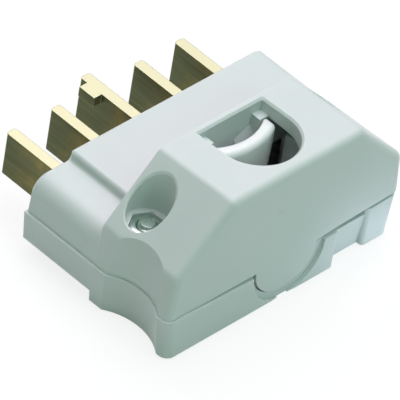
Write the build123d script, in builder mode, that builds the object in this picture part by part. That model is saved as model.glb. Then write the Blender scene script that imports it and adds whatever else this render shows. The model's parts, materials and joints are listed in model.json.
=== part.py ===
# Danish five-blade power plug: two moulded shells, brass blades with screw terminals, cord saddle, fixings.
# Frame: x = 0 on the hood's centre plane, y = 0 on the mating face with +Y the way the plug goes in,
# z = 0 on the parting plane between the cover and the base, +Z up. Millimetres.

import os
from math import hypot, radians, sqrt, tan

from build123d import *

# Blades
blade_pitch = 12.0
first_gap = 12.6  # spacing of the leftmost blade, wider than the pitch
row_offset = 0.3  # x of the middle blade
blade_thickness = 2.6
blade_height = 10.8
blade_rise = 0.6  # mid-height of the blades above the parting plane
blade_reach = 15.5
tip_round = 0.7
earth_extra = 3.6
lug_setback = 2.1
lug_length = 4.5
lug_reach = 2.2
lug_height = 2.4

# Terminals
tang_length = 5.0
tang_height = 6.0
block_width = 7.0
block_length = 11.0
block_height = 8.7
wire_bore_radius = 2.1
wire_bore_depth = 5.0
wire_bore_height = 4.4  # above the floor that the block stands on
terminal_screw_radius = 1.5
terminal_head_radius = 2.6
terminal_head_height = 1.8

# Body
body_width = 67.4  # cover at the parting plane
body_depth = 42.5
side_draft = 5.0
hood_depth = 22.1
hood_top_width = 37.4
hood_height = 25.2
hood_fall = 0.9  # the hood's top is this much lower at its rear edge
strip_height = 11.0
shelf_drop = 2.3
step_offset = 22.7  # centre plane to the step between shelf and strip
wall = 2.2
hood_rear_wall = 1.4
mating_wall = 2.6
ridge_round = 1.8
shoulder_round = 2.4
shelf_round = 4.2
rear_bevel = 0.6
step_round = 0.9

# Base
base_lip = 0.4  # how far the base stands proud of the cover
foot_drop = 11.0
foot_depth = 22.5
heel_drop = 7.7
base_draft = 6.5
corner_round = 2.2
heel_bevel = 0.5
groove_start = 15.7
groove_width = 9.2
groove_depth = 2.4  # at the underside
groove_top_depth = 1.3  # at the parting plane
block_setback = 0.8
groove_round = 1.0

# Finger grips
grip_radius = 12.75
grip_bite = 2.75
grip_centre = 10.7  # behind the front face

# Cord window and saddle
window_radius = 9.15
window_margin = 3.55  # front face to the window's round end
window_skirt = 3.8
skirt_wall = 1.5
window_bevel = 0.5
guard_radius = 11.8  # guards beside the cord, on the base
guard_wall = 1.0
guard_half_mouth = 9.0
guard_drop = 3.6  # below the skirt's lower edge
guard_gap = 0.4
post_width = 2.4
post_length = 6.0
post_drops = (2.2, 3.0)  # left and right post, below the hood's top
gusset_drop = 5.7  # hood's top to the gusset's upper corner
gusset_width = 4.4
gusset_fall = 2.2
saddle_setback = 16.5  # front face to the mid-plane of the saddle's ends
saddle_offset = -0.2
saddle_thickness = 2.4
saddle_width = 17.4
saddle_waist = 14.2
saddle_top = 21.5
saddle_bow = 2.2  # the saddle's middle stands this much further forward than its ends
saddle_end = 1.4  # flat length at each end
saddle_leg = 2.6
saddle_arch_top = 8.0
saddle_foot_top = -1.0
saddle_foot_thickness = 2.4
saddle_foot_length = 6.0
saddle_foot_width = 7.0
saddle_corner = 0.9
saddle_rim = 1.3
clamp_screw_radius = 1.5
clamp_head_radius = 2.7
clamp_head_height = 1.7
clamp_screw_length = 7.0
clamp_boss = 6.0

# Housing screws and nuts
well_radius = 4.8
well_offset = 7.9  # in from the cover's side
well_setback = 16.3
well_floor = 6.1362  # under the hood's slanted side, on the well's axis
well_wall = 1.2
well_bevel = 0.35
screw_radius = 2.0
screw_end = 11.8
screw_head_radius = 3.5
screw_head_height = 2.4
drive_slot_width = 1.0
drive_slot_depth = 1.1
head_recess = 3.6
nut_width = 7.0
nut_height = 3.2
nut_pocket = 3.6
nut_turn = 32.0
screw_post = 10.0

# Cord tab with a sunk ring round it, and the seam in front that is tight at the left and opens at the tab
tab_offset = 0.5
tab_radius = 8.7
tab_centre = 0.2
tab_gap = 0.4
ring_offset = 1.3
ring_centre = -0.7
ring_radius = 10.4
ring_sink = 0.9
seam_start = 28.0
seam_gap = 1.2
seam_end_gap = 0.2
seam_lift = 0.6  # cut from the cover, where the groove starts
seam_rise = 1.3  # the same at the right end
seam_depth = 1.9
groove_gap = 2.0

# Ribs in the base
rib_thickness = 1.6
rib_top = 5.0
stop_height = 1.6

# Clearances
slot_clearance = 0.1
seat_clearance = 0.1
thread_clearance = 0.1
hole_clearance = 0.15
head_clearance = 0.4
bond = 0.3  # overlap of features that are moulded in one

# Places worked out from the sizes above
front_y = -body_depth
hood_rear_y = front_y + hood_depth
side_slope = tan(radians(side_draft))
base_slope = tan(radians(base_draft))
half_width = body_width / 2
half_top = hood_top_width / 2
hood_slope = hood_fall / hood_depth
hood_run = Vector(0, hood_depth, -hood_fall)  # the hood's edges from front to rear
rear_half = half_width - hood_fall * side_slope
shelf_height = strip_height - shelf_drop
blade_bottom = blade_rise - blade_height / 2
blade_top = blade_rise + blade_height / 2
heel_y = front_y + foot_depth
grip_x = half_width - grip_bite + grip_radius
grip_y = front_y + grip_centre
well_x = half_width - well_offset
well_y = front_y + well_setback
well_z = hood_height - hood_slope * well_setback - (well_x - half_top) - well_floor
window_y = front_y + window_margin + window_radius
window_rear_y = hood_rear_y - hood_rear_wall
saddle_y = front_y + saddle_setback
block_rear_y = -mating_wall - seat_clearance
block_front_y = block_rear_y - block_length
foot_floor = wall - foot_drop
screw_seat = head_recess - foot_drop
nut_floor = well_z - nut_pocket
tall = 4 * hood_height  # longer than any cut has to be
blade_x = [row_offset + blade_pitch * (i - 2) for i in range(5)]
blade_x[0] = blade_x[1] - first_gap
blade_names = ["neutral_blade", "phase_1_blade", "earth_blade", "phase_2_blade", "phase_3_blade"]
foot_x = saddle_width / 2
foot_y = saddle_y + saddle_thickness / 2 + saddle_foot_length / 2
foot_front_y = saddle_y - saddle_thickness / 2
sides = (-1, 1)

os.makedirs("parts", exist_ok=True)


def save(part, name):
    part.label = name
    export_step(part, f"parts/{name}.step")


def hood_top(y):
    """Height of the hood's top plane at a depth y."""
    return hood_height - hood_slope * (y - front_y)


def on_well_rim(edge):
    """True for the edges where a screw well opens in the hood."""
    spot = edge @ 0.5
    off_rim = hypot(abs(spot.X) - well_x, spot.Y - well_y) - well_radius
    return abs(off_rim) < slot_clearance and spot.Z > well_z + bond and edge.geom_type != GeomType.LINE


# Space inside the cover: hood and rear chamber, less the walls that stand in it
with BuildPart() as cover_cavity:
    with BuildSketch(Plane.XZ.offset(body_depth - wall)):
        with BuildLine():
            inner_top = hood_top(front_y + wall) - wall
            inner_half = half_top - wall * (sqrt(2) - 1)
            Polyline(
                (-inner_half - inner_top, 0),
                (-inner_half, inner_top),
                (inner_half, inner_top),
                (inner_half + inner_top, 0),
                close=True,
            )
        make_face()
    extrude(amount=hood_run.length * (1 - (wall + hood_rear_wall) / hood_depth), dir=hood_run)
    with BuildSketch(Plane.XZ.offset(mating_wall)):
        with BuildLine():
            Polyline(
                (-half_width, 0),
                (-half_width, shelf_height - wall),
                (wall - step_offset, shelf_height - wall),
                (wall - step_offset, strip_height - wall),
                (half_width, strip_height - wall),
                (half_width, 0),
                close=True,
            )
        make_face()
    extrude(amount=body_depth - mating_wall - wall)
    with BuildSketch(Plane.XZ):
        with BuildLine():
            inner_side = half_width - wall
            Polyline(
                (-inner_side, 0),
                (-inner_side + hood_height * side_slope, hood_height),
                (inner_side - hood_height * side_slope, hood_height),
                (inner_side, 0),
                close=True,
            )
        make_face()
    extrude(amount=body_depth, mode=Mode.INTERSECT)
    with Locations(*[(s * grip_x, grip_y) for s in sides]):
        Cylinder(grip_radius + wall, tall, mode=Mode.SUBTRACT)
    with Locations(*[(s * well_x, well_y) for s in sides]):
        Box(2 * (well_radius + well_wall), 2 * (well_radius + well_wall), tall, mode=Mode.SUBTRACT)
    # Skirt that hangs round the cord window, with a post in each rear corner
    skirt_z = hood_top(window_y) - window_skirt
    with BuildSketch(Plane.XY.offset(skirt_z)):
        with Locations((0, window_y)):
            Circle(window_radius + skirt_wall)
        with Locations((0, window_y)):
            Rectangle(
                2 * (window_radius + skirt_wall),
                hood_rear_y - window_y,
                align=(Align.CENTER, Align.MIN),
            )
    extrude(amount=tall, mode=Mode.SUBTRACT)

# Sloped gusset on the hood's rear wall, beside the right post
gusset_x = window_radius - post_width
gusset_top = hood_top(hood_rear_y) - gusset_drop
gusset_bottom = hood_top(hood_rear_y) - max(post_drops) - post_length
with BuildPart() as gusset:
    with BuildSketch(Plane.XZ.offset(-window_rear_y - bond)):
        with BuildLine():
            Polyline(
                (gusset_x + bond, gusset_bottom),
                (gusset_x + bond, gusset_top),
                (gusset_x - gusset_width, gusset_top - gusset_fall),
                (gusset_x - gusset_width, gusset_bottom),
                close=True,
            )
        make_face()
    extrude(amount=post_width + bond)
    slope_edge = Vector(-gusset_width, 0, -gusset_fall)
    slope_down = Vector(0, -post_width, gusset_bottom - gusset_top)
    slope_normal = slope_down.cross(slope_edge)
    slope = Plane((gusset_x, window_rear_y, gusset_top), x_dir=slope_edge, z_dir=slope_normal)
    split(bisect_by=slope, keep=Keep.TOP)

# Upper cover
shoulder_height = (hood_height - half_width + half_top) / (1 - side_slope)
with BuildPart() as upper_cover:
    with BuildSketch(Plane.XZ.offset(body_depth)) as hood_profile:
        with BuildLine():
            Polyline(
                (-half_width, 0),
                (-half_width + shoulder_height * side_slope, shoulder_height),
                (-half_top, hood_height),
                (half_top, hood_height),
                (half_width - shoulder_height * side_slope, shoulder_height),
                (half_width, 0),
                close=True,
            )
        make_face()
        fillet(hood_profile.vertices().group_by(Axis.Y)[-1], ridge_round)
        fillet(hood_profile.vertices().group_by(Axis.Y)[1], shoulder_round)
    extrude(amount=hood_run.length, dir=hood_run)
    with BuildSketch(Plane.XZ) as rear_profile:
        with BuildLine():
            Polyline(
                (-rear_half, -hood_fall),
                (-rear_half + shelf_height * side_slope, shelf_height),
                (-step_offset, shelf_height),
                (-step_offset, strip_height),
                (rear_half - strip_height * side_slope, strip_height),
                (rear_half, -hood_fall),
                close=True,
            )
        make_face()
        fillet(rear_profile.vertices().sort_by(Axis.X)[1], shelf_round)
        fillet(rear_profile.vertices().filter_by(lambda v: abs(v.X + step_offset) < bond), step_round)
        fillet(rear_profile.vertices().sort_by(Axis.X)[-2], shoulder_round)
    extrude(amount=body_depth - hood_depth)
    split(bisect_by=Plane.XY, keep=Keep.TOP)
    front_rim = upper_cover.faces().sort_by(Axis.Y)[0].edges().filter_by(lambda e: e.center().Z > bond)
    fillet(front_rim, ridge_round)
    rear_rim = upper_cover.faces().sort_by(Axis.Y)[-1].edges().filter_by(lambda e: e.center().Z > bond)
    chamfer(rear_rim, rear_bevel)
    with Locations(*[(s * grip_x, grip_y) for s in sides]):
        Cylinder(grip_radius, tall, mode=Mode.SUBTRACT)
    add(cover_cavity.part, mode=Mode.SUBTRACT)
    # Cord window, round in front and square against the hood's rear wall
    with BuildSketch(Plane.XY.offset(skirt_z)):
        with Locations((0, window_y)):
            Circle(window_radius)
            Rectangle(2 * window_radius, window_radius, align=(Align.CENTER, Align.MIN))
        with Locations((0, window_rear_y)):
            Rectangle(tall, tall, align=(Align.CENTER, Align.MIN), mode=Mode.SUBTRACT)
    extrude(amount=tall, mode=Mode.SUBTRACT)
    top_face = upper_cover.faces().filter_by(GeomType.PLANE).sort_by(Axis.Z)[-1]
    chamfer(top_face.inner_wires()[0].edges(), window_bevel)
    for s, drop in zip(sides, post_drops):
        with Locations((s * (window_radius + bond), window_rear_y + bond, hood_top(hood_rear_y) - drop)):
            Box(
                post_width + bond,
                post_width + bond,
                post_length,
                align=(Align.MAX if s > 0 else Align.MIN, Align.MAX, Align.MAX),
            )
    add(gusset.part)
    # Screw wells with a six-sided nut pocket in the floor
    with Locations(*[(s * well_x, well_y, well_z) for s in sides]):
        Cylinder(well_radius, tall, align=(Align.CENTER, Align.CENTER, Align.MIN), mode=Mode.SUBTRACT)
        Cylinder(screw_radius + hole_clearance, tall, mode=Mode.SUBTRACT)
    with BuildSketch(Plane.XY.offset(nut_floor)):
        with Locations(*[(s * well_x, well_y) for s in sides]):
            RegularPolygon(nut_width / 2 + seat_clearance, 6, major_radius=False, rotation=nut_turn)
    extrude(amount=nut_pocket, mode=Mode.SUBTRACT)
    chamfer(upper_cover.edges().filter_by(on_well_rim), well_bevel)
    # Half-round tab that closes the front cord cut-out of the base
    with BuildSketch(Plane.XZ.offset(body_depth)):
        with Locations((tab_offset, tab_centre)):
            Circle(tab_radius)
    extrude(amount=-wall)
    # Lower edge in front, which rises to the right of the tab
    with BuildSketch(Plane.XZ.offset(body_depth)):
        with BuildLine():
            Polyline(
                (tab_offset + tab_radius + tab_gap, 0),
                (groove_start, seam_lift),
                (half_width, seam_rise),
                (half_width, 0),
                close=True,
            )
        make_face()
    extrude(amount=-seam_depth, mode=Mode.SUBTRACT)
    with BuildSketch(Plane.XZ):
        with Locations(*[(x, 0) for x in blade_x]):
            Rectangle(
                blade_thickness + 2 * slot_clearance,
                blade_top + slot_clearance,
                align=(Align.CENTER, Align.MIN),
            )
    extrude(amount=mating_wall, mode=Mode.SUBTRACT)

# Space inside the base, less the walls, floors and screw posts that stand in it
base_half = half_width + base_lip
base_front_y = front_y - base_lip
foot_half = base_half - foot_drop * base_slope
saddle_foot_bottom = saddle_foot_top - saddle_foot_thickness
with BuildPart() as base_cavity:
    with BuildSketch(Plane.XZ.offset(mating_wall)):
        with BuildLine():
            Polyline(
                (wall - base_half, 0),
                (wall - foot_half, -foot_drop),
                (foot_half - wall, -foot_drop),
                (base_half - wall, 0),
                close=True,
            )
        make_face()
    extrude(amount=body_depth - mating_wall - wall)
    with Locations((0, front_y, foot_floor)):
        Box(
            2 * body_width,
            body_depth,
            foot_drop,
            align=(Align.CENTER, Align.MIN, Align.MAX),
            mode=Mode.SUBTRACT,
        )
    with Locations((0, heel_y - wall, blade_bottom)):
        Box(
            2 * body_width,
            body_depth,
            foot_drop,
            align=(Align.CENTER, Align.MIN, Align.MAX),
            mode=Mode.SUBTRACT,
        )
    with Locations(*[(s * grip_x, grip_y) for s in sides]):
        Cone(
            grip_radius - base_lip + wall + foot_drop * base_slope,
            grip_radius - base_lip + wall,
            foot_drop,
            align=(Align.CENTER, Align.CENTER, Align.MAX),
            mode=Mode.SUBTRACT,
        )
    with Locations(*[(s * well_x, well_y) for s in sides]):
        Box(screw_post, screw_post, tall, mode=Mode.SUBTRACT)
    # Bosses under the saddle's feet
    with Locations(*[(saddle_offset + s * foot_x, foot_y, saddle_foot_bottom) for s in sides]):
        Box(
            clamp_boss,
            clamp_boss,
            foot_drop,
            align=(Align.CENTER, Align.CENTER, Align.MAX),
            mode=Mode.SUBTRACT,
        )
    # Wall behind the groove in front
    with Locations((groove_start, base_front_y + groove_depth)):
        Box(
            groove_width,
            wall,
            tall,
            align=(Align.MIN, Align.MIN, Align.CENTER),
            mode=Mode.SUBTRACT,
        )

# Lower base
with BuildPart() as lower_base:
    with BuildSketch(Plane.XZ):
        with BuildLine():
            Polyline(
                (-base_half, 0),
                (-foot_half, -foot_drop),
                (foot_half, -foot_drop),
                (base_half, 0),
                close=True,
            )
        make_face()
    extrude(amount=body_depth + base_lip)
    with Locations((0, heel_y, -heel_drop)):
        Box(
            2 * body_width,
            body_depth,
            foot_drop,
            align=(Align.CENTER, Align.MIN, Align.MAX),
            mode=Mode.SUBTRACT,
        )
    # Groove in front at the right, deeper below, and the end block that stands back beside it
    groove_end = groove_start + groove_width
    with BuildSketch(Plane.YZ.offset(groove_start)):
        with BuildLine():
            Polyline(
                (base_front_y, 0),
                (base_front_y + groove_top_depth, 0),
                (base_front_y + groove_depth, -foot_drop),
                (base_front_y, -foot_drop),
                close=True,
            )
        make_face()
    extrude(amount=groove_width, mode=Mode.SUBTRACT)
    with Locations((groove_end, base_front_y)):
        Box(body_width, block_setback, tall, align=(Align.MIN, Align.MIN, Align.CENTER), mode=Mode.SUBTRACT)
    upright = lower_base.edges().filter_by(lambda e: e.bounding_box().size.Z > heel_drop)
    fillet(upright.filter_by(lambda e: abs(e.center().X) > groove_end + wall), corner_round)
    upright = lower_base.edges().filter_by(Axis.Z)
    lips = upright.filter_by(lambda e: e.center().Y < base_front_y + block_setback + bond)
    fillet(lips.filter_by(lambda e: groove_start - bond < e.center().X < groove_end + bond), groove_round)
    with Locations(*[(s * grip_x, grip_y) for s in sides]):
        Cone(
            grip_radius - base_lip + foot_drop * base_slope,
            grip_radius - base_lip,
            foot_drop,
            align=(Align.CENTER, Align.CENTER, Align.MAX),
            mode=Mode.SUBTRACT,
        )
    chamfer(lower_base.faces().sort_by(Axis.Z)[0].edges(), heel_bevel)
    add(base_cavity.part, mode=Mode.SUBTRACT)
    # Half-round cut-out for the cover's tab, with a sunk ring round it
    with BuildSketch(Plane.XZ.offset(body_depth + base_lip)):
        with Locations((tab_offset, tab_centre)):
            Circle(tab_radius + tab_gap)
    extrude(amount=-(wall + base_lip), mode=Mode.SUBTRACT)
    with BuildSketch(Plane.XZ.offset(body_depth + base_lip)):
        with Locations((ring_offset, ring_centre)):
            Circle(ring_radius)
    extrude(amount=-ring_sink, mode=Mode.SUBTRACT)
    # Seam in front
    with BuildSketch(Plane.XZ.offset(body_depth + base_lip)):
        with BuildLine():
            Polyline(
                (-seam_start, 0),
                (tab_offset, -seam_gap),
                (base_half, -seam_end_gap),
                (base_half, 0),
                close=True,
            )
        make_face()
    extrude(amount=-seam_depth, mode=Mode.SUBTRACT)
    with Locations((groove_start, base_front_y)):
        Box(
            groove_width,
            groove_top_depth + seam_depth,
            2 * groove_gap,
            align=(Align.MIN, Align.MIN, Align.CENTER),
            mode=Mode.SUBTRACT,
        )
    # Guards on both sides of the cord, which stand on the floor
    with BuildSketch(Plane.XY.offset(foot_floor - bond)):
        with Locations((0, window_y)):
            Circle(guard_radius + guard_wall)
            Circle(guard_radius, mode=Mode.SUBTRACT)
            Rectangle(2 * guard_half_mouth, tall, mode=Mode.SUBTRACT)
        with Locations((0, foot_front_y - guard_gap)):
            Rectangle(tall, tall, align=(Align.CENTER, Align.MIN), mode=Mode.SUBTRACT)
    extrude(amount=skirt_z - guard_drop - foot_floor + bond)
    # Partitions between the terminals, and the stop in front of them
    rib_x = [(a + b) / 2 for a, b in zip(blade_x, blade_x[1:])]
    with Locations(*[(x, block_rear_y, blade_bottom - bond) for x in rib_x]):
        Box(
            rib_thickness,
            block_length,
            rib_top - blade_bottom + bond,
            align=(Align.CENTER, Align.MAX, Align.MIN),
        )
    with Locations(((blade_x[0] + blade_x[-1]) / 2, block_front_y - seat_clearance, blade_bottom - bond)):
        Box(
            blade_x[-1] - blade_x[0] + block_width,
            rib_thickness,
            stop_height + bond,
            align=(Align.CENTER, Align.MAX, Align.MIN),
        )
    # Screw holes in the bosses under the saddle's feet
    with Locations(*[(saddle_offset + s * foot_x, foot_y, saddle_foot_bottom) for s in sides]):
        Cylinder(
            clamp_screw_radius + thread_clearance,
            clamp_screw_length - saddle_foot_thickness + hole_clearance,
            align=(Align.CENTER, Align.CENTER, Align.MAX),
            mode=Mode.SUBTRACT,
        )
    # Housing screw holes, recessed from below for the heads
    with Locations(*[(s * well_x, well_y, screw_seat) for s in sides]):
        Cylinder(screw_radius + hole_clearance, tall, mode=Mode.SUBTRACT)
        Cylinder(
            screw_head_radius + head_clearance,
            tall,
            align=(Align.CENTER, Align.CENTER, Align.MAX),
            mode=Mode.SUBTRACT,
        )
    with BuildSketch(Plane.XZ):
        with Locations(*[(x, 0) for x in blade_x]):
            Rectangle(
                blade_thickness + 2 * slot_clearance,
                -blade_bottom,
                align=(Align.CENTER, Align.MAX),
            )
    extrude(amount=mating_wall, mode=Mode.SUBTRACT)

save(upper_cover.part, "upper_cover")
save(lower_base.part, "lower_base")

# Blades, each with a lower tang that goes into its terminal block
for name, x in zip(blade_names, blade_x):
    is_earth = name == "earth_blade"
    reach = blade_reach + (earth_extra if is_earth else 0)
    with BuildPart() as blade:
        with Locations((x, block_rear_y, blade_bottom)):
            Box(
                blade_thickness,
                reach - block_rear_y,
                blade_height,
                align=(Align.CENTER, Align.MIN, Align.MIN),
            )
        tip_edges = blade.edges().filter_by(Axis.Z).group_by(Axis.Y)[-1]
        fillet(tip_edges, tip_round)
        with Locations((x, block_rear_y, blade_bottom)):
            Box(blade_thickness, tang_length, tang_height, align=(Align.CENTER, Align.MAX, Align.MIN))
        if is_earth:
            with Locations((x - blade_thickness / 2, reach - lug_setback, blade_top)):
                Box(lug_reach, lug_length, lug_height, align=(Align.MAX, Align.MAX, Align.MAX))
    save(blade.part, name)

# Terminal blocks: blade slot behind, wire bore in front, screw hole from above
screw_y = block_front_y + wire_bore_depth / 2
for name, x in zip(blade_names, blade_x):
    with BuildPart() as block:
        with Locations((x, block_rear_y, blade_bottom)):
            Box(block_width, block_length, block_height, align=(Align.CENTER, Align.MAX, Align.MIN))
            Box(
                blade_thickness + 2 * seat_clearance,
                tang_length + seat_clearance,
                tang_height + seat_clearance,
                align=(Align.CENTER, Align.MAX, Align.MIN),
                mode=Mode.SUBTRACT,
            )
        with BuildSketch(Plane.XZ.offset(-block_front_y)):
            with Locations((x, blade_bottom + wire_bore_height)):
                Circle(wire_bore_radius)
        extrude(amount=-wire_bore_depth, mode=Mode.SUBTRACT)
        with Locations((x, screw_y, blade_bottom + wire_bore_height)):
            Cylinder(
                terminal_screw_radius + thread_clearance,
                block_height,
                align=(Align.CENTER, Align.CENTER, Align.MIN),
                mode=Mode.SUBTRACT,
            )
    save(block.part, name.replace("blade", "terminal"))

# Terminal screws
block_top = blade_bottom + block_height
with BuildPart() as terminal_screws:
    with Locations(*[(x, screw_y, block_top) for x in blade_x]):
        Cylinder(terminal_head_radius, terminal_head_height, align=(Align.CENTER, Align.CENTER, Align.MIN))
        Cylinder(
            terminal_screw_radius,
            block_height - wire_bore_height,
            align=(Align.CENTER, Align.CENTER, Align.MAX),
        )
    with Locations(*[(x, screw_y, block_top + terminal_head_height) for x in blade_x]):
        Box(
            2 * terminal_head_radius,
            drive_slot_width,
            drive_slot_depth,
            align=(Align.CENTER, Align.CENTER, Align.MAX),
            mode=Mode.SUBTRACT,
        )
save(terminal_screws.part, "terminal_screws")

# Cord saddle: upright yoke that bows forward round the cord, two legs and two screwed feet
saddle_half = saddle_width / 2
waist_half = saddle_waist / 2
bow_half = saddle_half - saddle_end
end_rear_y = saddle_y + saddle_thickness / 2
with BuildPart() as cord_saddle:
    with BuildSketch(Plane((saddle_offset, 0, saddle_foot_bottom))):
        with BuildLine():
            Polyline(
                (-bow_half, end_rear_y),
                (-saddle_half, end_rear_y),
                (-saddle_half, foot_front_y),
            )
            ThreePointArc(
                (-saddle_half, foot_front_y),
                (0, foot_front_y - saddle_bow),
                (saddle_half, foot_front_y),
            )
            Polyline(
                (saddle_half, foot_front_y),
                (saddle_half, end_rear_y),
                (bow_half, end_rear_y),
            )
            ThreePointArc((bow_half, end_rear_y), (0, end_rear_y - saddle_bow), (-bow_half, end_rear_y))
        make_face()
    extrude(amount=saddle_top - saddle_foot_bottom)
    front_arc = cord_saddle.faces().sort_by(Axis.Z)[-1].edges().sort_by(Axis.Y)[0]
    fillet(front_arc, saddle_rim)
    upright = cord_saddle.edges().filter_by(Axis.Z)
    fillet(upright.filter_by(lambda e: abs(e.center().X - saddle_offset) > bow_half + bond), saddle_corner)
    with BuildSketch(Plane((saddle_offset, saddle_y, 0), x_dir=(1, 0, 0), z_dir=(0, -1, 0))) as yoke:
        with BuildLine():
            Polyline(
                (-saddle_half, saddle_top),
                (-waist_half, saddle_arch_top),
                (-waist_half, saddle_foot_bottom),
                (waist_half, saddle_foot_bottom),
                (waist_half, saddle_arch_top),
                (saddle_half, saddle_top),
                close=True,
            )
        make_face()
        fillet(yoke.vertices().group_by(Axis.Y)[-1], saddle_corner)
        with BuildLine():
            arch_half = waist_half - saddle_leg
            Polyline(
                (-arch_half, saddle_foot_bottom),
                (-arch_half, saddle_arch_top - arch_half),
                (-arch_half / 2, saddle_arch_top),
                (arch_half / 2, saddle_arch_top),
                (arch_half, saddle_arch_top - arch_half),
                (arch_half, saddle_foot_bottom),
                close=True,
            )
        make_face(mode=Mode.SUBTRACT)
    extrude(amount=body_depth, both=True, mode=Mode.INTERSECT)
    with Locations(*[(saddle_offset + s * foot_x, foot_front_y, saddle_foot_bottom) for s in sides]):
        Box(
            saddle_foot_width,
            saddle_thickness + saddle_foot_length,
            saddle_foot_thickness,
            align=(Align.CENTER, Align.MIN, Align.MIN),
        )
    with Locations(*[(saddle_offset + s * foot_x, foot_y) for s in sides]):
        Cylinder(clamp_screw_radius + hole_clearance, tall, mode=Mode.SUBTRACT)
save(cord_saddle.part, "cord_saddle")

# Clamp screws that hold the saddle's feet
with BuildPart() as clamp_screws:
    with Locations(*[(saddle_offset + s * foot_x, foot_y, saddle_foot_top) for s in sides]):
        Cylinder(clamp_head_radius, clamp_head_height, align=(Align.CENTER, Align.CENTER, Align.MIN))
        Cylinder(clamp_screw_radius, clamp_screw_length, align=(Align.CENTER, Align.CENTER, Align.MAX))
    slot_z = saddle_foot_top + clamp_head_height
    with Locations(*[(saddle_offset + s * foot_x, foot_y, slot_z) for s in sides]):
        Box(
            2 * clamp_head_radius,
            drive_slot_width,
            drive_slot_depth,
            align=(Align.CENTER, Align.CENTER, Align.MAX),
            mode=Mode.SUBTRACT,
        )
save(clamp_screws.part, "clamp_screws")

# Housing screws, put in from below
with BuildPart() as housing_screws:
    with Locations(*[(s * well_x, well_y, screw_seat) for s in sides]):
        Cylinder(screw_head_radius, screw_head_height, align=(Align.CENTER, Align.CENTER, Align.MAX))
        Cylinder(screw_radius, screw_end - screw_seat, align=(Align.CENTER, Align.CENTER, Align.MIN))
    with Locations(*[(s * well_x, well_y, screw_seat - screw_head_height) for s in sides]):
        Box(
            2 * screw_head_radius,
            drive_slot_width,
            drive_slot_depth,
            align=(Align.CENTER, Align.CENTER, Align.MIN),
            mode=Mode.SUBTRACT,
        )
save(housing_screws.part, "housing_screws")

# Housing nuts in their pockets
with BuildPart() as housing_nuts:
    with BuildSketch(Plane.XY.offset(nut_floor)):
        with Locations(*[(s * well_x, well_y) for s in sides]):
            RegularPolygon(nut_width / 2, 6, major_radius=False, rotation=nut_turn)
            Circle(screw_radius + thread_clearance, mode=Mode.SUBTRACT)
    extrude(amount=nut_height)
save(housing_nuts.part, "housing_nuts")
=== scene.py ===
import json
import math

import bmesh
import bpy
from mathutils import Matrix, Vector


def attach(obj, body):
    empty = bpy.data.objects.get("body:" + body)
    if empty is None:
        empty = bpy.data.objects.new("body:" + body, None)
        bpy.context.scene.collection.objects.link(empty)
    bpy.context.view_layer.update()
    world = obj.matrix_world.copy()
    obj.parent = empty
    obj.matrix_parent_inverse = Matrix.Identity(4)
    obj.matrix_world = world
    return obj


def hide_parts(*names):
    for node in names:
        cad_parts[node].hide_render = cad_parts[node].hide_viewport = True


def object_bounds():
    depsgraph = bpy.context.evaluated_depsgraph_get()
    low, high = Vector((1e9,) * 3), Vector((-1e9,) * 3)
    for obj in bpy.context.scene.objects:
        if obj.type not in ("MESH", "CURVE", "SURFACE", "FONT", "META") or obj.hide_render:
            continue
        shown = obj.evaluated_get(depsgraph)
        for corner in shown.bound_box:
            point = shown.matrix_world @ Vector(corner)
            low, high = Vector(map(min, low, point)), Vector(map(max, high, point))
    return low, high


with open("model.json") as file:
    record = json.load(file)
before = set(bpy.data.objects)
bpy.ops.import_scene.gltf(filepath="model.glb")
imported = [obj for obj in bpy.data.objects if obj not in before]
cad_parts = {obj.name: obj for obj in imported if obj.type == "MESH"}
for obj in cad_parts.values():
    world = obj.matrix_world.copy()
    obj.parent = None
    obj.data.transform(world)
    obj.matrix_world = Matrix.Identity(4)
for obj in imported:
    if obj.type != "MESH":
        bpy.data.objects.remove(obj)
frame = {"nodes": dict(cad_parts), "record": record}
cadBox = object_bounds()
nodes = frame["nodes"]
scene = bpy.context.scene
mm = 0.001
square = ((-1, -1), (1, -1), (1, 1), (-1, 1))  # four corners, one after the other
white = (1.0, 1.0, 1.0, 1.0)
print("frame loaded:", len(nodes), "nodes")


# a socket that can be used in sums
class Wire:
    def __init__(self, finish, socket):
        self.finish = finish
        self.socket = socket

    def calc(self, operation, a, b):
        return self.finish.add("Math", {"operation": operation}, {0: a, 1: b})

    def __add__(self, other):
        return self.calc("ADD", self, other)

    def __radd__(self, other):
        return self.calc("ADD", other, self)

    def __sub__(self, other):
        return self.calc("SUBTRACT", self, other)

    def __rsub__(self, other):
        return self.calc("SUBTRACT", other, self)

    def __mul__(self, other):
        return self.calc("MULTIPLY", self, other)

    def __rmul__(self, other):
        return self.calc("MULTIPLY", other, self)

    def __abs__(self):
        return self.calc("ABSOLUTE", self, 0.0)

    def orMore(self, other):
        return self.calc("MAXIMUM", self, other)


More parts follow.
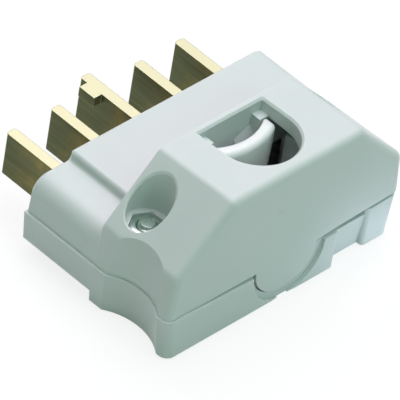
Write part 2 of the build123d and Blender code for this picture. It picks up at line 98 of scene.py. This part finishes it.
# a material, or the world, under construction
class Finish:
    bevelSamples = 6

    def __init__(self, name, kind="materials"):
        self.block = getattr(bpy.data, kind).new(name)
        self.block.use_nodes = True
        self.tree = self.block.node_tree
        self.tree.nodes.clear()

    def add(self, kind, settings=None, sockets=None, out=0):
        node = self.tree.nodes.new("ShaderNode" + kind)
        for key, value in (settings or {}).items():
            if key == "stops":
                for stop, (place, tone) in zip(node.color_ramp.elements, value):
                    stop.position = place
                    stop.color = (tone, tone, tone, 1.0)
            else:
                setattr(node, key, value)
        for key, value in (sockets or {}).items():
            if isinstance(value, Wire):
                self.tree.links.new(value.socket, node.inputs[key])
            else:
                node.inputs[key].default_value = value
        return Wire(self, node.outputs[out]) if node.outputs else None

    def place(self, stretch=(1, 1, 1)):  # metres in the plug's own frame
        spot = self.add("TexCoord", None, None, "Object")
        return self.add("VectorMath", {"operation": "MULTIPLY"}, {0: spot, 1: stretch})

    def noise(self, scale, detail=2.0, stretch=(1, 1, 1), rough=0.5):
        sockets = {"Vector": self.place(stretch), "Scale": scale, "Detail": detail, "Roughness": rough}
        return self.add("TexNoise", None, sockets)

    def ramp(self, value, span, top=1.0):  # 0 up to the span's start, top from its end on
        return self.add("ValToRGB", {"stops": ((span[0], 0.0), (span[1], top))}, {0: value})

    def blend(self, amount, first, second):  # 6, 7 and 2 are the Mix node's colours
        return self.add("Mix", {"data_type": "RGBA"}, {0: amount, 6: first, 7: second}, 2)

    def rounded(self, radius):  # normals as if every edge had this radius
        return self.add("Bevel", {"samples": self.bevelSamples}, {"Radius": radius})

    def edges(self, radius):  # 0 on flat faces, up to 1 on outer and inner edges
        hard = self.add("NewGeometry", None, None, "Normal")
        both = {0: self.rounded(radius), 1: hard}
        return 1.0 - self.add("VectorMath", {"operation": "DOT_PRODUCT"}, both, 1)

    def bump(self, height, strength, distance, radius):
        soft = self.rounded(radius)
        sockets = {"Strength": strength, "Distance": distance, "Height": height, "Normal": soft}
        return self.add("Bump", None, sockets)

    def done(self, sockets):
        shader = self.add("BsdfPrincipled", None, sockets)
        self.add("OutputMaterial", None, {"Surface": shader})
        return self.block


def rgba(tone):
    return (tone[0], tone[1], tone[2], 1.0)


# light grey moulded plastic of both shells
shellLook = {
    "tone": (0.675, 0.715, 0.705),
    "cloud": (0.645, 0.69, 0.677), "cloudScale": 46.0, "cloudSpan": (0.35, 0.7),
    "speck": (0.36, 0.4, 0.37), "speckScale": 240.0, "speckSpan": (0.785, 0.83), "speckShare": 0.4,
    # painted highlight: a paler grey on every edge, inner and outer alike, made a little glossier there
    "paintedHighlight": (0.86, 0.885, 0.87), "paintedHighlightSpan": (0.02, 0.14), "paintedHighlightShare": 0.8, "paintedHighlightPolish": 0.06,
    "rough": 0.47, "roughSpread": 0.12, "roughScale": 276.0,
    "grainScale": 2300.0, "grainStrength": 0.16, "grainDepth": 0.00003, "edge": 0.00035, "soft": 0.00014,
    "depth": 0.0008, "depthShare": 0.25, "depthTone": (1.0, 1.1, 1.05),
}


def shellFinish(name, look):
    f = Finish(name)
    cloud = f.ramp(f.noise(look["cloudScale"], detail=4.0), look["cloudSpan"])
    grain = f.noise(look["grainScale"])
    specks = f.ramp(f.noise(look["speckScale"], detail=1.0), look["speckSpan"], look["speckShare"])
    # painted highlight along every inner and outer edge, from the rounded normals' difference
    paintedHighlight = f.ramp(f.edges(look["edge"]), look["paintedHighlightSpan"])
    tone = f.blend(cloud, rgba(look["tone"]), rgba(look["cloud"]))
    tone = f.blend(specks, tone, rgba(look["speck"]))
    tone = f.blend(paintedHighlight * look["paintedHighlightShare"], tone, rgba(look["paintedHighlight"]))
    uneven = f.noise(look["roughScale"], detail=3.0) - 0.5
    return f.done({
        "Base Color": tone,
        "Roughness": look["rough"] + uneven * look["roughSpread"] - paintedHighlight * look["paintedHighlightPolish"],
        "Subsurface Weight": look["depthShare"],
        "Subsurface Radius": look["depthTone"],
        "Subsurface Scale": look["depth"],
        "Normal": f.bump(grain, look["grainStrength"], look["grainDepth"], look["soft"]),
    })


# white plastic of the cord saddle
saddleLook = {
    "tone": (0.93, 0.94, 0.935), "cloud": (0.89, 0.9, 0.89), "cloudScale": 90.0,
    "rough": 0.3, "roughSpread": 0.1,
    "grainScale": 1900.0, "grainStrength": 0.08, "grainDepth": 0.00002, "edge": 0.0003,
    "depth": 0.0025, "depthShare": 0.6, "depthTone": (1.0, 1.1, 1.05),
}


def saddleFinish(name, look):
    f = Finish(name)
    cloud = f.noise(look["cloudScale"], detail=3.0)
    grain = f.noise(look["grainScale"])
    return f.done({
        "Base Color": f.blend(cloud, rgba(look["tone"]), rgba(look["cloud"])),
        "Roughness": look["rough"] + (grain - 0.5) * look["roughSpread"],
        "Subsurface Weight": look["depthShare"],
        "Subsurface Radius": look["depthTone"],
        "Subsurface Scale": look["depth"],
        "Normal": f.bump(grain, look["grainStrength"], look["grainDepth"], look["edge"]),
    })


# rolled brass: faces darkened by tarnish and painted shade, sheared edges kept bright as a painted
# highlight, a painted golden reflection near the blades' roots
brassLook = {
    "bright": (0.605, 0.625, 0.4), "paintedShadeTarnish": (0.055, 0.07, 0.024), "flatSpan": (0.55, 0.9),
    # tarnish and painted shade on the sheet faces, with a painted highlight left along their edges
    "tarnishAndPaintedShadeShare": 0.92, "tarnishAndPaintedShadeLeast": 0.9, "tarnishAndPaintedShadeStreak": 0.2, "paintedHighlightSpan": (0.03, 0.2), "paintedHighlightShare": 0.75,
    "stain": (0.14, 0.125, 0.04), "stainShare": 0.35, "blotScale": 230.0, "blotSpan": (0.42, 0.68),
    # painted golden reflection of the body near the blades' roots
    "paintedReflectionGold": (0.42, 0.31, 0.08), "paintedReflectionGoldLeast": 0.22, "paintedReflectionGoldBlot": 0.5, "paintedReflectionReach": 0.012,
    "rough": 0.3, "roughStreak": 0.14, "roughTarnishAndPaintedShade": 0.12, "edge": 0.00018,
    "streakScale": 30.0, "streakStretch": (40, 1.5, 40), "streakRough": 0.65,
    "streakStrength": 0.1, "streakDepth": 0.00002,
}


def brassFinish(name, look):
    f = Finish(name)
    lie = f.add("NewGeometry", None, None, "Normal")
    flat = abs(f.add("SeparateXYZ", None, {0: lie}))  # sheet faces look along x
    rolled = {"stretch": look["streakStretch"], "rough": look["streakRough"]}
    streaks = f.noise(look["streakScale"], detail=4.0, **rolled)
    blot = f.ramp(f.noise(look["blotScale"], detail=4.0), look["blotSpan"])
    # painted highlight: a strip along every edge of the sheet faces keeps the bright brass
    paintedHighlight = f.ramp(f.edges(look["edge"]), look["paintedHighlightSpan"])
    # tarnish and painted shade on the sheet faces, which look along x
    tarnishAndPaintedShade = f.ramp(flat, look["flatSpan"]) * look["tarnishAndPaintedShadeShare"] * (1.0 - paintedHighlight * look["paintedHighlightShare"])
    paintedShadeTarnished = tarnishAndPaintedShade * (look["tarnishAndPaintedShadeLeast"] + streaks * look["tarnishAndPaintedShadeStreak"])
    tone = f.blend(paintedShadeTarnished, rgba(look["bright"]), rgba(look["paintedShadeTarnish"]))
    tone = f.blend(blot * tarnishAndPaintedShade * look["stainShare"], tone, rgba(look["stain"]))
    # painted reflection of the body: a golden tinge on the darkened faces, fading along y over a given
    # length
    alongY = f.add("SeparateXYZ", None, {0: f.place()}, 1)
    root = f.ramp(1.0 - alongY * (1 / look["paintedReflectionReach"]), (0.0, 1.0))
    paintedReflection = root * tarnishAndPaintedShade * (look["paintedReflectionGoldLeast"] + blot * look["paintedReflectionGoldBlot"])
    return f.done({
        "Base Color": f.blend(paintedReflection, tone, rgba(look["paintedReflectionGold"])),
        "Metallic": 1.0,
        "Roughness": look["rough"] + streaks * look["roughStreak"] + tarnishAndPaintedShade * look["roughTarnishAndPaintedShade"],
        "Normal": f.bump(streaks, look["streakStrength"], look["streakDepth"], look["edge"]),
    })


# bright zinc plate on the screws and nuts
zincLook = {
    "tone": (0.78, 0.87, 0.82), "shade": (0.52, 0.62, 0.56), "blotScale": 420.0,
    "rough": 0.2, "roughScratch": 0.2, "edge": 0.0001,
    "scratchScale": 120.0, "scratchStretch": (1, 18, 1), "scratchStrength": 0.08, "scratchDepth": 0.00002,
}


def zincFinish(name, look):
    f = Finish(name)
    blot = f.noise(look["blotScale"], detail=4.0)
    scratch = f.noise(look["scratchScale"], detail=3.0, stretch=look["scratchStretch"])
    return f.done({
        "Base Color": f.blend(blot, rgba(look["tone"]), rgba(look["shade"])),
        "Metallic": 1.0,
        "Roughness": look["rough"] + scratch * look["roughScratch"],
        "Normal": f.bump(scratch, look["scratchStrength"], look["scratchDepth"], look["edge"]),
    })


finishOf = {
    "shell": shellFinish("shellGrey", shellLook),
    "saddle": saddleFinish("saddleWhite", saddleLook),
    "brass": brassFinish("bladeBrass", brassLook),
    "steel": zincFinish("zincPlate", zincLook),
}
slotOf = {p["node"]: p["material_slot"] for p in frame["record"]["subparts"]}
print("finishes made")

shadeLook = {"sharpFrom": 32.0, "areaWeight": 100}  # degrees; at 100 the large faces rule


def evenShading(obj, look):  # flat faces stay flat next to their rounded edges
    obj.data.shade_smooth()
    obj.data.set_sharp_from_angle(angle=math.radians(look["sharpFrom"]))
    keep = obj.modifiers.new("evenNormals", "WEIGHTED_NORMAL")
    keep.mode = "FACE_AREA"
    keep.weight = look["areaWeight"]
    keep.keep_sharp = True


for name, obj in nodes.items():
    obj.data.materials.clear()
    obj.data.materials.append(finishOf[slotOf[name]])
    evenShading(obj, shadeLook)
print("nodes dressed")

weldGap, sliverGap = 0.002, 0.0001  # mm


def closedMesh(name, spots, faces):  # spots in mm
    mesh = bpy.data.meshes.new(name)
    mesh.from_pydata([Vector(p) * mm for p in spots], [], faces)
    bm = bmesh.new()
    bm.from_mesh(mesh)
    bmesh.ops.remove_doubles(bm, verts=bm.verts, dist=weldGap * mm)
    bmesh.ops.dissolve_degenerate(bm, edges=bm.edges, dist=sliverGap * mm)
    bmesh.ops.recalc_face_normals(bm, faces=bm.faces)
    bm.to_mesh(mesh)
    bm.free()
    return mesh


def addPiece(mesh, node, slot):
    piece = bpy.data.objects.new(mesh.name, mesh)
    scene.collection.objects.link(piece)
    mesh.materials.append(finishOf[slot])
    evenShading(piece, shadeLook)
    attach(piece, "root")
    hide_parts(node)


def twinCorners(node):  # lowest and highest corner, in mm, of a node's left and right solid
    twins = []
    for side in (-1, 1):
        spots = [v.co / mm for v in nodes[node].data.vertices if v.co.x * side > 0]
        twins.append([Vector([pick(p[k] for p in spots) for k in range(3)]) for pick in (min, max)])
    return twins


nutCorners = twinCorners("housing_nuts")
screwCorners = twinCorners("housing_screws")
wells = [(low + high) / 2 for low, high in nutCorners]  # a nut's middle lies on its well's axis

# nuts in the wells: corners turned off at both ends, thread countersunk at the top
nutLook = {
    "across": 7.0, "turn": 32.0, "washer": 3.3, "slant": 30.0, "hole": 2.1, "sink": 2.4, "sinkDepth": 0.3,
    "sides": 6, "steps": 96,
}


def makeNuts(look):
    spots, faces = [], []
    n, flat = look["steps"], 360.0 / look["sides"]
    slope = math.tan(math.radians(look["slant"]))
    low, top = (corner.z for corner in nutCorners[0])
    for well in wells:
        start = len(spots)
        for k in range(n):
            angle = 360.0 * k / n  # from a corner of the nut
            a = math.radians(look["turn"] + angle)
            reach = look["across"] / 2 / math.cos(math.radians(angle % flat - flat / 2))
            fall = (reach - look["washer"]) * slope
            rim = (
                (look["hole"], low), (look["washer"], low), (reach, low + fall), (reach, top - fall),
                (look["washer"], top), (look["sink"], top), (look["hole"], top - look["sinkDepth"]),
            )
            spots += [(well.x + r * math.cos(a), well.y + r * math.sin(a), z) for r, z in rim]
        m = len(rim)
        for k in range(n):
            this, after = start + k * m, start + (k + 1) % n * m
            faces += [(this + j, after + j, after + (j + 1) % m, this + (j + 1) % m) for j in range(m)]
    addPiece(closedMesh("housingNuts", spots, faces), "housing_nuts", "steel")


# screws put in from below: slotted cheese head, rolled thread, bevelled end
screwLook = {
    "crest": 2.0, "root": 1.57, "tip": 1.5, "pitch": 0.7, "spareTurns": 3, "steps": 48,
    "thread": ((0.0, "root"), (0.38, "crest"), (0.5, "crest"), (0.88, "root")),  # shares of one turn
    "headRadius": 3.5, "headHeight": 2.4, "headBevel": 0.3,
    "slotWidth": 1.0, "slotDepth": 1.1, "slotClear": 1.0,
}


def screwBody(look, low, end):  # on the z axis, head down
    spots, faces = [], []
    n, thread = look["steps"], look["thread"]
    m = len(thread)
    seat = low + look["headHeight"]
    rows = m * (int((end - seat) / look["pitch"]) + look["spareTurns"])
    angles = [2 * math.pi * i / n for i in range(n)]
    for i, a in enumerate(angles):
        for j in range(rows):
            share, level = thread[j % m]
            z = seat + (j // m + share + i / n - 1) * look["pitch"]
            r = look[level] if z > seat else look["root"]
            r = max(look["tip"], min(r, look["tip"] + end - z))
            spots.append((r * math.cos(a), r * math.sin(a), min(max(z, seat), end)))
    for i in range(n):
        climb = m if i == n - 1 else 0  # the thread climbs one pitch in a turn
        this, after = i * rows, (i + 1) % n * rows + climb
        faces += [(this + j, after + j, after + j + 1, this + j + 1) for j in range(rows - 1 - climb)]
    faces.append([i * rows + rows - 1 for i in range(n)])
    inner = [i * rows for i in range(n)]
    wide, bevel = look["headRadius"], look["headBevel"]
    for r, z in ((wide, seat), (wide, low + bevel), (wide - bevel, low)):
        outer = list(range(len(spots), len(spots) + n))
        spots += [(r * math.cos(a), r * math.sin(a), z) for a in angles]
        faces += [(inner[i], inner[(i + 1) % n], outer[(i + 1) % n], outer[i]) for i in range(n)]
        inner = outer
    faces.append(inner)
    return closedMesh("screwBody", spots, faces)


def slotBlank(look, low):  # what the driver's slot takes out of the head
    half, far = look["slotWidth"] / 2, 2 * look["headRadius"]
    levels = (low - look["slotClear"], low + look["slotDepth"])
    corners = [(x * far, y * half, z) for z in levels for x, y in square]
    sides = [(k, (k + 1) % 4, (k + 1) % 4 + 4, k + 4) for k in range(4)]
    return closedMesh("slotBlank", corners, [(0, 3, 2, 1), (4, 5, 6, 7)] + sides)


def makeScrews(look):
    low, end = (corner.z for corner in screwCorners[0])
    body = bpy.data.objects.new("screwBody", screwBody(look, low, end))
    blank = bpy.data.objects.new("slotBlank", slotBlank(look, low))
    for obj in (body, blank):
        scene.collection.objects.link(obj)
    cut = body.modifiers.new("slot", "BOOLEAN")
    cut.operation = "DIFFERENCE"
    cut.solver = "EXACT"
    cut.object = blank
    screw = bpy.data.meshes.new_from_object(body.evaluated_get(bpy.context.evaluated_depsgraph_get()))
    for obj in (body, blank):
        bpy.data.objects.remove(obj)
    spots, faces = [], []
    for well in wells:
        faces += [[len(spots) + k for k in p.vertices] for p in screw.polygons]
        spots += [v.co / mm + Vector((well.x, well.y, 0)) for v in screw.vertices]
    addPiece(closedMesh("housingScrews", spots, faces), "housing_screws", "steel")


makeNuts(nutLook)
makeScrews(screwLook)
print("nuts and screws made")

# pale floor, brighter for the camera than for the light it throws back
floorLook = {
    "tone": (0.7, 0.715, 0.71), "seenTone": (0.98, 0.98, 0.98), "glow": 0.8, "shine": 1.03, "size": 1.6,
    "gap": 0.05,  # mm under the foot
}


def layFloor(look):
    f = Finish("paleFloor")
    seen = f.add("LightPath", None, None, "Is Camera Ray")
    for kind in ("Glossy", "Transmission"):
        seen = seen.orMore(f.add("LightPath", None, None, "Is %s Ray" % kind))
    tone = f.blend(seen, rgba(look["tone"]), rgba(look["seenTone"]))
    dry = {"Base Color": tone, "Roughness": 1.0, "Specular IOR Level": 0.0}
    matt = f.add("BsdfPrincipled", None, dry)
    glow = f.add("Emission", None, {"Color": white, "Strength": look["shine"]})
    both = f.add("MixShader", None, {0: seen * look["glow"], 1: matt, 2: glow})
    f.add("OutputMaterial", None, {"Surface": both})
    mesh = bpy.data.meshes.new("floor")
    half, low = look["size"] / 2, cadBox[0][2] - look["gap"] * mm
    mesh.from_pydata([(x * half, y * half, low) for x, y in square], [], [(0, 1, 2, 3)])
    floor = bpy.data.objects.new("floor", mesh)
    scene.collection.objects.link(floor)
    mesh.materials.append(f.block)


layFloor(floorLook)

# the tinted lamps leave no glints on the brass
plugMiddle = (0.0, -0.015, 0.005)
lampLook = {
    "key": {
        "energy": 7.1, "size": 0.9, "at": (0.12, 0.1, 0.8), "tone": (0.99, 0.905, 0.995), "glints": True,
    },
    "front": {"energy": 1.38, "size": 0.5, "at": (0.0, -0.6, 0.6), "tone": (0.53, 1.0, 0.81)},
    "left": {"energy": 0.3, "size": 0.6, "at": (-0.8, -0.05, 0.25), "tone": (0.35, 1.0, 0.6)},
    "back": {
        "energy": 2.5, "size": 0.8, "at": (0.5, 0.7, 0.5), "tone": (1.0, 0.84, 0.96), "glints": True,
    },
    "low": {  # small strip in front of the groove
        "energy": 0.0012, "size": 0.03, "height": 0.002, "at": (0.026, -0.055, -0.0095),
        "aim": (0.0215, -0.0425, -0.006), "tone": (0.74, 0.78, 1.0),
    },
}


def hangLamps(looks):
    for name, look in looks.items():
        lamp = bpy.data.lights.new(name, "AREA")
        lamp.energy = look["energy"]
        lamp.shape = "RECTANGLE"
        lamp.size = look["size"]
        lamp.size_y = look.get("height", look["size"])
        lamp.color = look["tone"]
        obj = bpy.data.objects.new(name, lamp)
        obj.location = look["at"]
        obj.visible_camera = False
        obj.visible_glossy = look.get("glints", False)
        aim = Vector(look.get("aim", plugMiddle)) - Vector(look["at"])
        obj.rotation_euler = aim.to_track_quat("-Z", "Y").to_euler()
        scene.collection.objects.link(obj)


hangLamps(lampLook)

# dim fill from all round, white where the camera sees it
worldLook = {"tone": (0.56, 1.0, 0.7), "strength": 0.135}


def setWorld(look):
    f = Finish("studio", "worlds")
    seen = f.add("LightPath", None, None, "Is Camera Ray")
    fill = f.add("Background", None, {"Color": rgba(look["tone"]), "Strength": look["strength"]})
    plain = f.add("Background", None, {"Color": white, "Strength": 1.0})
    both = f.add("MixShader", None, {0: seen, 1: fill, 2: plain})
    f.add("OutputWorld", None, {"Surface": both})
    scene.world = f.block


setWorld(worldLook)

# the photograph's view: long lens, a little rolled, aimed at a point whose pixel is known
cameraLook = {
    "azimuth": -50.573, "elevation": 41.364, "roll": 9.715, "aim": (0.0, -42.5, 0.0),
    "aimPixel": (284.949, 258.013), "framePixels": 400.0, "focalPixels": 8000.0, "pixelsPerMm": 4.863,
    "sensor": 36.0, "near": 0.1,
}


def setCamera(look):
    az, el, ro = (math.radians(look[k]) for k in ("azimuth", "elevation", "roll"))
    ahead = Vector((-math.sin(az) * math.cos(el), math.cos(az) * math.cos(el), -math.sin(el)))
    right = Vector((math.cos(az), math.sin(az), 0.0))
    up = right.cross(ahead)
    right, up = math.cos(ro) * right + math.sin(ro) * up, math.cos(ro) * up - math.sin(ro) * right
    distance = look["focalPixels"] / look["pixelsPerMm"]
    acrossMm, downMm = ((p - look["framePixels"] / 2) / look["pixelsPerMm"] for p in look["aimPixel"])
    spot = (Vector(look["aim"]) - acrossMm * right + downMm * up - distance * ahead) * mm
    data = bpy.data.cameras.new("camera")
    data.sensor_width = look["sensor"]
    data.lens = look["sensor"] * look["focalPixels"] / look["framePixels"]
    data.clip_start = look["near"]
    camera = bpy.data.objects.new("camera", data)
    turn = Matrix((right, up, -ahead)).transposed().to_4x4()
    camera.matrix_world = Matrix.Translation(spot) @ turn
    scene.collection.objects.link(camera)
    scene.camera = camera


setCamera(cameraLook)
scene.view_settings.view_transform = "Standard"
print("floor, lamps and camera set")
